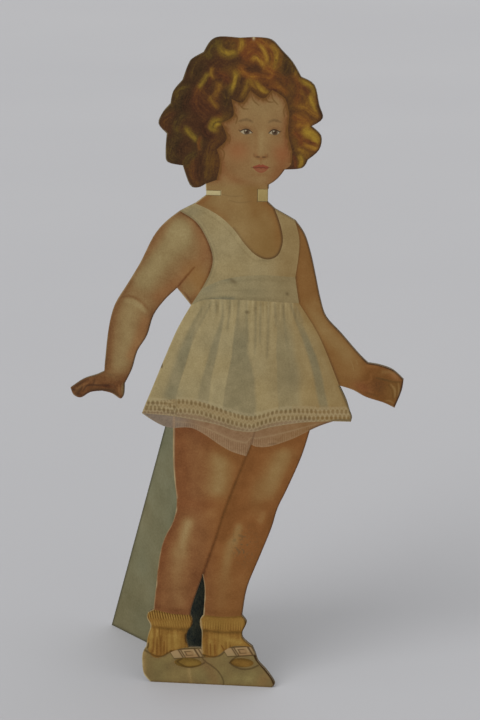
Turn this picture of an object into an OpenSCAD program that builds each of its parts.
// Die-cut paper doll on thick card, with a folding easel at its back.
// The doll faces -Y, stands on its shoes and leans back on the easel. Millimetres, +Z up.
// The origin is on the floor, in the middle of the soles and of the board's thickness.

/* [Figure] */
// Height of the shoes and socks, along the board
foot_h = 35; // [28:1:42]
// Height of the legs, from the socks to the skirt hem
leg_h = 94; // [84:1:104]
// Height of the skirt, from its hem to the waist seam
skirt_h = 55; // [46:1:64]
// Height of the chest and neck, from the waist seam to the chin
chest_h = 53; // [46:1:60]
// Height of the head, from the chin to the crown
head_h = 68; // [60:1:76]
// Width from fingertips to fingertips
span_w = 155; // [145:1:165]

/* [Board and papers] */
// Thickness of the greyboard
board_t = 2; // [1.2:0.1:3]
// Thickness of the printed sheet
sheet_t = 0.2; // [0.1:0.05:0.4]
// Thickness of the ink film
ink_t = 0.1; // [0.05:0.05:0.2]
// Thickness of the back paper
back_t = 0.2; // [0.1:0.05:0.4]
// Angle that the doll leans back
lean = 4; // [2:0.5:7]

/* [Neck] */
// Depth of the slot at the viewer's left of the neck
slot_left_d = 7; // [3:0.5:9]
// Height of the left slot
slot_left_h = 2.3; // [1:0.1:2.5]
// Depth of the slot at the viewer's right of the neck
slot_right_d = 4.7; // [3:0.1:8]
// Height of the right slot
slot_right_h = 5.8; // [2:0.1:6]
// Height of the gummed strip behind the neck
strip_h = 10; // [8:0.5:11]
// Thickness of the gummed strip
strip_t = 0.3; // [0.1:0.05:0.5]

/* [Easel] */
// Thickness of the easel card
card_t = 1.3; // [0.8:0.1:2]
// Thickness of the paper that lines the easel and is its hinge
hinge_t = 0.2; // [0.1:0.05:0.4]
// Place of the crease, to the right of the middle
crease_x = 9.3; // [5:0.1:12]
// Opening of the wing from the doll's back
open_deg = 46; // [20:1:70]
// Length of the wing along the floor
wing_foot = 97; // [80:1:110]
// Width of the wing at its top
wing_head = 14; // [8:1:20]
// Height of the easel along the crease
easel_h = 205; // [180:1:212]
// Width of the flange at its top
flange_w = 25; // [15:1:28]
// Width of the flange at its foot
flange_foot_w = 11; // [7:1:13]
// Height of the flange's foot above the sole
flange_foot_h = 64; // [55:1:90]
// Gap between the two halves of the easel at the crease
crease_gap = 0.1; // [0.05:0.05:0.3]

/* [Hidden] */

// Heights of the sole, the sock cuffs, the hem, the waist, the chin and the crown, and the width,
// that the figure's points are drawn at
drawn_heights = [0, 35, 129, 184, 237, 305];
drawn_span = 155;
// The same heights, as the sizes set them
hem_h = foot_h + leg_h;
waist_h = hem_h + skirt_h;
chin_h = waist_h + chest_h;
crown_h = chin_h + head_h;
set_heights = [0, foot_h, hem_h, waist_h, chin_h, crown_h];
// The soles are drawn this far below the floor and cut off level with it
sole_cut = 1.5;
height_table = [[-sole_cut, -sole_cut],
                for (i = [0 : len(set_heights) - 1]) [drawn_heights[i], set_heights[i]]];
// Points drawn between two control points of a curve
curve_steps = 4;
oval_steps = 48;

// Slots at the neck, measured from its sides, and the strip behind them
neck_left_x = -3;
neck_right_x = 25.5;
slot_left_z = 232.8;
slot_right_z = 230.5;
slot_run_out = 3;
strip_z = 233.5;
strip_inset = 0.2;

// Front depths of the layers. The easel is glued to the back paper, or over the neck strip where it
// reaches it, and folds on the rear face of its paper.
board_y = -board_t / 2;
sheet_y = board_y - sheet_t;
ink_y = sheet_y - ink_t;
back_y = board_y + board_t;
rear_y = back_y + back_t;
strip_foot = at([0, strip_z])[1] - strip_h / 2;
easel_y = rear_y + (easel_h > strip_foot ? strip_t : 0);
hinge_y = easel_y + card_t + hinge_t;

// Oval of the head, and the stretch of it that shows as the jaw
head_c = [20.5, 262.5];
head_r = [17, 25.5];
jaw_from = -42;
jaw_to = -72;
jaw_step = -10;
function oval_point(c, r, a) = c + [r[0] * cos(a), r[1] * sin(a)];

// A drawn point, moved to where the set heights and width put it
function at(p) = [p[0] * span_w / drawn_span, lookup(p[1], height_table)];

// Smooth curve through the points, without its last one, so that curves can be chained
function bend(a, b, slope_a, slope_b, t) =
    a * (2 * t^3 - 3 * t^2 + 1) + slope_a * (t^3 - 2 * t^2 + t)
    + b * (3 * t^2 - 2 * t^3) + slope_b * (t^3 - t^2);
function smooth(p) = [
    for (i = [0 : len(p) - 2])
    let (before = p[max(i - 1, 0)], after = p[min(i + 2, len(p) - 1)])
    for (k = [0 : curve_steps - 1])
    bend(p[i], p[i + 1], (p[i + 1] - before) / 2, (after - p[i]) / 2, k / curve_steps)];
function curve(points) = smooth([for (p = points) at(p)]);
// One closed outline from stretches that start where the last one ends
function outline(stretches) = [for (s = stretches) each curve(s)];
// A stretch, or a list of stretches, run the other way
function back(list) = [for (i = [len(list) - 1 : -1 : 0]) list[i]];
function all_back(stretches) = [for (s = back(stretches)) back(s)];
function oval(c, r) = [
    for (k = [0 : oval_steps - 1]) at(oval_point(c, r, 360 * k / oval_steps))];

// Stretches of the die line, from the left of the neck over the crown and round the figure
jaw = [for (a = [jaw_from : jaw_step : jaw_to]) oval_point(head_c, head_r, a)];
cheek = jaw[0];
throat = jaw[len(jaw) - 1];
curls = [
    [[-3, 238], [-6.5, 236.3], [-10.3, 237.4], [-13.6, 246.2]],
    [[-13.6, 246.2], [-20.5, 247.6], [-21.6, 252], [-21.1, 260.7]],
    [[-21.1, 260.7], [-24.9, 265.2], [-22.9, 270.4], [-19.4, 274.6]],
    [[-19.4, 274.6], [-18.1, 280.2], [-14, 285.2]],
    [[-14, 285.2], [-11.6, 291.8], [-9.6, 295], [-4.4, 298]],
    [[-4.4, 298], [-1.2, 303.2], [3, 305], [12, 304.6]],
    [[12, 304.6], [20, 305], [26.5, 304], [31, 299.5]],
    [[31, 299.5], [36, 294.2], [40, 287.5]],
    [[40, 287.5], [46, 284], [48.3, 275], [50, 269], [45, 265.3]],
    [[45, 265.3], [49.4, 261], [48.6, 254.7], [43.5, 250]],
    [[43.5, 250], [41, 246.3], cheek]];
neck_right = [throat, [25.5, 230.3]];
shoulder_right = [[25.5, 230.3], [28.8, 227.3]];
strap_right = [[28.8, 227.3], [33.5, 224.8], [38.2, 222.2]];
arm_right = [[38.2, 222.2], [42.5, 216], [45.5, 207], [48, 196], [50.2, 186], [53, 178],
             [60, 170.5], [68, 161.5], [72.5, 157.2]];
hand_right = [
    [[72.5, 157.2], [78, 156.4], [84, 154.3], [89, 150]],
    [[89, 150], [88.2, 144.5], [85.2, 136.7]]];
forearm_right = [[85.2, 136.7], [80, 139], [72, 141.3], [66, 144.4], [59.5, 146.3]];
skirt_right = [[59.5, 146.3], [62.6, 140], [64.4, 134.5]];
lace_right = [[64.4, 134.5], [65.5, 131.5], [65.2, 129.4]];
hem_right = [[57, 129.3], [65.2, 129.4]];
knickers_right = [[57, 129.3], [51, 127], [46.2, 124.6]];
leg_right = [[46.2, 124.6], [42.5, 112], [36.3, 97], [31.5, 86.5], [28.6, 76.5], [23, 62],
             [17.5, 47.5], [15.4, 34.4]];
sock_right = [[15.4, 34.4], [17.4, 31.8], [17.3, 29.8], [15.6, 26], [16.2, 23], [20.5, 19.4]];
shoe_right = [[20.5, 19.4], [22, 15.8], [23.4, 12.2], [27.3, 8], [31.2, 2.2], [30, 0]];
sole = [
    [[30, 0], [30, -sole_cut]],
    [[30, -sole_cut], [-28, -sole_cut]],
    [[-28, -sole_cut], [-28, 0]]];
shoe_left = [[-28, 0], [-31, 3.5], [-31.9, 9], [-31.7, 14], [-30, 17.5]];
sock_left = [[-30, 17.5], [-29.2, 22.5], [-28, 27.5], [-29.6, 31], [-29.2, 33.8], [-26.6, 35.6]];
leg_left = [[-26.6, 35.6], [-25.3, 48], [-23.7, 62], [-21, 71.5], [-17.3, 79], [-15.7, 88],
            [-16.9, 99], [-17.6, 110], [-17.6, 123.4]];
knickers_left = [[-17.6, 123.4], [-22, 124.2], [-27.5, 126.9], [-32.3, 130]];
lace_left = [[-32.3, 130], [-30.3, 135.3]];
skirt_left = [[-30.3, 135.3], [-27.7, 141.5], [-21.7, 156.5], [-15.7, 170.5], [-9.5, 181.7]];
side_left = [[-9.5, 181.7], [-13.5, 186.5], [-16, 189.5]];
forearm_left = [[-16, 189.5], [-22, 183.5], [-27.3, 176], [-30.3, 166.5], [-34.8, 159],
                [-37.3, 150.5], [-40.7, 143.5]];
hand_left = [
    [[-40.7, 143.5], [-41, 138.5], [-42.5, 136.6], [-46.5, 139], [-51, 140]],
    [[-51, 140], [-56.5, 139.2], [-61, 136.5], [-64.5, 137.6], [-66, 141]],
    [[-66, 141], [-60, 145.2], [-54, 147.4], [-50, 149.3]]];
arm_left = [[-50, 149.3], [-49.6, 155], [-47.9, 170], [-45, 181], [-39, 191], [-33.1, 201],
            [-27.2, 213], [-21.8, 219.8], [-15, 225.3]];
strap_left = [[-15, 225.3], [-8, 229]];
shoulder_left = [[-8, 229], [-2.8, 233]];
neck_left = [[-2.8, 233], [-3, 238]];
die_line = concat(
    curls,
    [jaw, neck_right, shoulder_right, strap_right, arm_right],
    hand_right,
    [forearm_right, skirt_right, lace_right, back(hem_right), knickers_right],
    [leg_right, sock_right, shoe_right],
    sole,
    [shoe_left, sock_left, leg_left, knickers_left, lace_left, skirt_left, side_left, forearm_left],
    hand_left,
    [arm_left, strap_left, shoulder_left, neck_left]);

// Gap between the shins, from its top down the right leg and up the left one
shin_right = [[-3.2, 53.4], [-2.2, 46], [-2.8, 34]];
ankle_right = [[-2.8, 34], [-4.2, 32], [-4.4, 29], [-3.5, 25.5], [-3.6, 17.6]];
instep = [[-3.6, 17.6], [-9.8, 17.8]];
ankle_left = [[-9.8, 17.8], [-11, 22.3], [-10.2, 25.8], [-8.2, 28.8], [-8, 31.6], [-9, 33.6]];
shin_left = [[-9, 33.6], [-8.6, 37], [-6.6, 43.5], [-3.2, 53.4]];
leg_gap = [shin_right, ankle_right, instep, ankle_left, shin_left];

// Stretches inside the figure, where two printed colours meet
hairline = [
    [[-3, 238], [2, 240]],
    [[2, 240], [3.5, 248], [2, 254]],
    [[2, 254], [6.5, 259], [4, 266]],
    [[4, 266], [9.5, 269.5], [8.5, 277]],
    [[8.5, 277], [13.5, 275.5], [17, 281]],
    [[17, 281], [23, 277.5], [27, 281.5]],
    [[27, 281.5], [33, 277.5], [35, 270]],
    [[35, 270], [34.5, 262], [36.5, 254]],
    [[36.5, 254], [36, 248], cheek]];
neckline = [[-8, 229], [-2.5, 226.7], [4, 223], [10, 217.5], [15, 211], [20, 206],
            [25.5, 203.9], [30.5, 206], [32.7, 212.5], [31.5, 220], [28.8, 227.3]];
armhole_left = [[-15, 225.3], [-7.5, 220.5], [-2.5, 213], [0.4, 204.5], [-0.6, 197.5], [-4.5, 189.5]];
flank_left = [[-4.5, 189.5], [-9.5, 181.7]];
armhole_right = [[38.6, 196], [40, 206], [40.2, 214], [38.2, 222.2]];
flank_right = [[40.5, 184], [39.5, 190], [38.6, 196]];
sash_top = [[-4.5, 189.5], [4, 193.5], [14, 195.8], [26, 196.6], [38.6, 196]];
waist_seam = [[-9.5, 181.7], [-3, 184.4], [8, 184.8], [24, 184.5], [40.5, 184]];
skirt_by_arm = [[59.5, 146.3], [56, 155], [52.5, 163.5], [48, 172.5], [40.5, 184]];
lace_top = [[-30.3, 135.3], [-20, 136.8], [-9.5, 137.3], [0, 135], [8, 132.2], [20, 130.2],
            [29, 133], [40, 134.1], [52, 134.5], [64.4, 134.5]];
hem = [[-32.3, 130], [-17, 129], [2, 126], [11, 123.4], [20, 123], [27, 125.2], [42.5, 128.2],
       [57, 129.3]];
frill_left = [[-17.6, 123.4], [-9.5, 123.9], [-3, 121], [4, 116.4], [10, 113.2], [16.8, 111.3]];
gusset = [[16.8, 111.3], [19, 117]];
frill_right = [[19, 117], [22, 115.9], [28, 116.4], [38, 120.2], [46.2, 124.6]];
leg_split = [[-3.2, 53.4], [-0.8, 60.5], [3, 72], [8, 88], [16.8, 111.3]];
cuff_left = [[-9, 33.6], [-18, 33.8], [-26.6, 35.6]];
cuff_right = [[15.4, 34.4], [6.5, 33.4], [-2.8, 34]];
topline_left = [[-30, 17.5], [-27.5, 12.9], [-24, 12], [-18.5, 14.8], [-14, 16.8], [-9.8, 17.8]];
topline_right = [[-3.6, 17.6], [-2.5, 13.6], [3, 13.6], [6.8, 16.5], [12, 19.4], [20.5, 19.4]];
// Openings of the shoes below their straps, where the socks show: middle and half sizes
vamp_left = [[-10, 10.2], [6.5, 2.4]];
vamp_right = [[15.6, 11.4], [5.6, 2.2]];

module area(stretches) { polygon(outline(stretches)); }
module vamp(v) { polygon(oval(v[0], v[1])); }

// The two slots, cut in from the sides of the neck
module slots() {
    left = at([neck_left_x, slot_left_z]);
    right = at([neck_right_x, slot_right_z]);
    translate([left[0] - slot_run_out, left[1]]) square([slot_left_d + slot_run_out, slot_left_h]);
    translate([right[0] - slot_right_d, right[1]]) square([slot_right_d + slot_run_out, slot_right_h]);
}
module figure_area() {
    difference() {
        area(die_line);
        area(leg_gap);
        slots();
    }
}

// A flat outline as a layer of the board, from its front depth
module layer(y, t) {
    translate([0, y + t, 0]) rotate([90, 0, 0]) linear_extrude(t) children();
}
// Leans the doll back
module leaning() { rotate([-lean, 0, 0]) children(); }
// Leans a layer that stands on the floor, and cuts its soles level
module standing() {
    room = 2 * crown_h;
    intersection() {
        leaning() children();
        translate([-room / 2, -room / 2, 0]) cube(room);
    }
}
// One ink area on the front of the sheet
module ink() { leaning() layer(ink_y, ink_t) children(); }

module doll_board() { color("#8a7c60") standing() layer(board_y, board_t) figure_area(); }
module printed_sheet() { color("#b0a27a") standing() layer(sheet_y, sheet_t) figure_area(); }
module back_paper() { color("#726d55") standing() layer(back_y, back_t) figure_area(); }

module neck_strip() {
    left = at([neck_left_x, strip_z]);
    right = at([neck_right_x, strip_z]);
    color("#a3966d") leaning() layer(rear_y, strip_t)
        translate([left[0] + strip_inset, left[1] - strip_h / 2])
            square([right[0] - left[0] - 2 * strip_inset, strip_h]);
}

// Outline of the flange, from the crease to the right
module flange_area() {
    translate([crease_x, 0]) polygon([[crease_gap, flange_foot_h], [flange_foot_w, flange_foot_h],
                                      [flange_w, easel_h], [crease_gap, easel_h]]);
}
module easel_flange() { color("#716d55") leaning() layer(easel_y, card_t) flange_area(); }
module flange_paper() { color("#6a674f") leaning() layer(hinge_y - hinge_t, hinge_t) flange_area(); }

// Height of the floor along the board, at a distance from the crease along the opened wing
function floor_h(s) = (hinge_y + s * sin(open_deg)) * tan(lean);
// Outline of the wing, from the crease to the left, run on below the floor that cuts its foot
module wing_area() {
    toe_h = floor_h(wing_foot);
    run_on = sole_cut * (wing_foot - wing_head) / (easel_h - toe_h);
    polygon([[-crease_gap, floor_h(0) - sole_cut], [-crease_gap, easel_h],
             [-wing_head, easel_h], [-wing_foot - run_on, toe_h - sole_cut]]);
}
// A layer of the wing, swung open about the crease on the rear face of its paper
module opened(y, t) {
    standing() translate([crease_x, hinge_y, 0]) rotate([0, 0, -open_deg]) layer(y, t) wing_area();
}
module easel_wing() { color("#716d55") opened(-hinge_t - card_t, card_t); }
module wing_paper() { color("#6a674f") opened(-hinge_t, hinge_t); }

module print_hair() { color("#6e4a24") ink() area(concat(curls, all_back(hairline))); }
module print_face() {
    color("#8c6c42") ink() difference() {
        area(concat(hairline, [jaw, neck_right, shoulder_right, back(neckline), shoulder_left, neck_left]));
        slots();
    }
}
module print_arms() {
    color("#836746") ink() {
        area(concat([side_left, forearm_left], hand_left, [arm_left, armhole_left, flank_left]));
        area(concat([arm_right], hand_right, [forearm_right, skirt_by_arm, flank_right, armhole_right]));
    }
}
module print_slip() {
    color("#958663") ink() {
        area([sash_top, armhole_right, back(strap_right), back(neckline), back(strap_left), armhole_left]);
        area([lace_top, back(skirt_right), skirt_by_arm, back(waist_seam), back(skirt_left)]);
    }
}
module print_sash() {
    color("#8a7d5b") ink() area([waist_seam, flank_right, back(sash_top), flank_left]);
}
module print_lace() {
    color("#8d7e62") ink() area([hem, hem_right, back(lace_right), back(lace_top), back(lace_left)]);
}
module print_knickers() {
    color("#8b6d52") ink()
        area([back(knickers_left), frill_left, gusset, frill_right, back(knickers_right), back(hem)]);
}
module print_legs() {
    color("#805c39") ink() {
        area([leg_left, frill_left, back(leg_split), back(shin_left), cuff_left]);
        area([leg_split, gusset, frill_right, leg_right, cuff_right, back(shin_right)]);
    }
}
module print_socks() {
    color("#876730") ink() {
        area([back(sock_left), topline_left, ankle_left, cuff_left]);
        area([ankle_right, topline_right, back(sock_right), cuff_right]);
        vamp(vamp_left);
        vamp(vamp_right);
    }
}
module print_shoes() {
    color("#776843") standing() layer(ink_y, ink_t) difference() {
        area(concat([shoe_right], sole, [shoe_left, topline_left, back(instep), topline_right]));
        vamp(vamp_left);
        vamp(vamp_right);
    }
}

doll_board();
printed_sheet();
back_paper();
neck_strip();
easel_flange();
flange_paper();
easel_wing();
wing_paper();
print_hair();
print_face();
print_arms();
print_slip();
print_sash();
print_lace();
print_knickers();
print_legs();
print_socks();
print_shoes();
